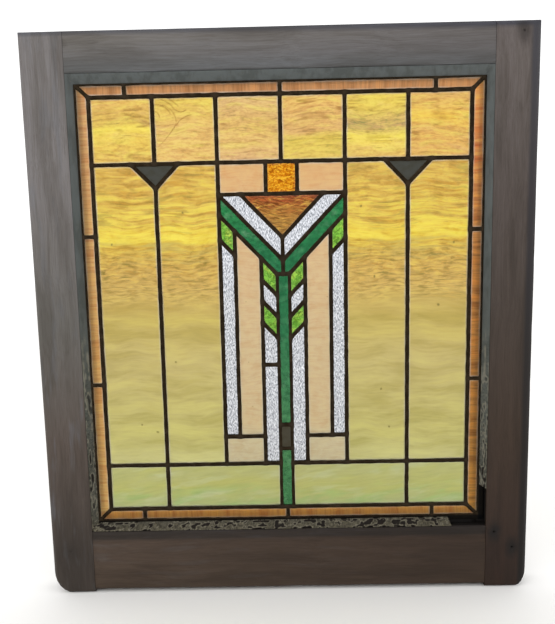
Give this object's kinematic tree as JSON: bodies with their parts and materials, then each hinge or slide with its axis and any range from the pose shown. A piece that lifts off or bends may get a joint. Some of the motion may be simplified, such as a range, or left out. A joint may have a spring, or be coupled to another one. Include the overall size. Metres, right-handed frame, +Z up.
{
  "type": "leaded glass piano window",
  "caption": "Stained-glass window panel in a dark wooden sash, with an amber border, an opalescent field and a stylised plant in the middle.",
  "frame": {"origin": "middle of the bottom rail's underside, halfway through the sash; the stiles' feet reach 3.5 mm below it", "axes": "+Z up along the stiles, +X to the right seen from the glazed front, +Y from the putty side to the back"},
  "size_m": [0.61, 0.035, 0.7],
  "materials": {
    "dark_wood": "old dark stain, worn at the edges",
    "lead": "dull darkened lead with tinned joints",
    "putty": "dry cracked grey-green glazing putty",
    "amber_glass": "streaky amber",
    "honey_glass": "rippled honey opalescent",
    "field_glass": "wispy amber to olive opalescent",
    "pale_green_glass": "pale green and white opalescent",
    "cream_glass": "smooth cream opalescent",
    "orange_glass": "rippled orange",
    "brown_glass": "streaky red-brown and amber",
    "green_glass": "streaky dark green",
    "leaf_glass": "mottled leaf green",
    "dark_glass": "dense grey-black opalescent",
    "clear_glass": "clear, finely pebbled"
  },
  "bodies": {
    "root": {"base_glass_inner_left": "pale_green_glass", "base_glass_inner_right": "pale_green_glass", "base_glass_outer_left": "pale_green_glass", "base_glass_outer_right": "pale_green_glass", "border_corner_bottom_left": "amber_glass", "border_corner_bottom_right": "amber_glass", "border_corner_top_left": "amber_glass", "border_corner_top_right": "amber_glass", "border_glass_bottom_left": "amber_glass", "border_glass_bottom_right": "amber_glass", "border_glass_left": "amber_glass", "border_glass_right": "amber_glass", "border_glass_top_left": "amber_glass", "border_glass_top_right": "amber_glass", "brown_triangle": "brown_glass", "clear_strip_inner_right": "clear_glass", "clear_strip_lower_left": "clear_glass", "clear_strip_outer_left": "clear_glass", "clear_strip_outer_right": "clear_glass", "clear_strip_upper_left": "clear_glass", "cream_block_left": "cream_glass", "cream_block_right": "cream_glass", "cream_strip_left": "cream_glass", "cream_strip_right": "cream_glass", "glazing_putty": "putty", "green_bar_left": "green_glass", "green_bar_right": "green_glass", "hanging_triangle_left": "dark_glass", "hanging_triangle_right": "dark_glass", "lead_cames": "lead", "leaf_gap_left": "clear_glass", "leaf_gap_right": "clear_glass", "lime_piece_left": "leaf_glass", "lime_piece_right": "leaf_glass", "lower_leaf_left": "leaf_glass", "lower_leaf_right": "leaf_glass", "orange_square": "orange_glass", "rail_bottom": "dark_wood", "rail_top": "dark_wood", "small_cream_left": "cream_glass", "small_cream_right": "cream_glass", "square_glass_1": "honey_glass", "square_glass_2": "honey_glass", "square_glass_3": "honey_glass", "square_glass_4": "honey_glass", "square_glass_5": "honey_glass", "square_glass_6": "honey_glass", "stem_block": "dark_glass", "stem_foot": "green_glass", "stem_upper": "green_glass", "stile_left": "dark_wood", "stile_right": "dark_wood", "tall_glass_inner_left": "field_glass", "tall_glass_inner_right": "field_glass", "tall_glass_outer_left": "field_glass", "tall_glass_outer_right": "field_glass", "upper_leaf_left": "leaf_glass", "upper_leaf_right": "leaf_glass", "white_bar_left": "clear_glass", "white_bar_right": "clear_glass"}
  },
  "joints": []
}
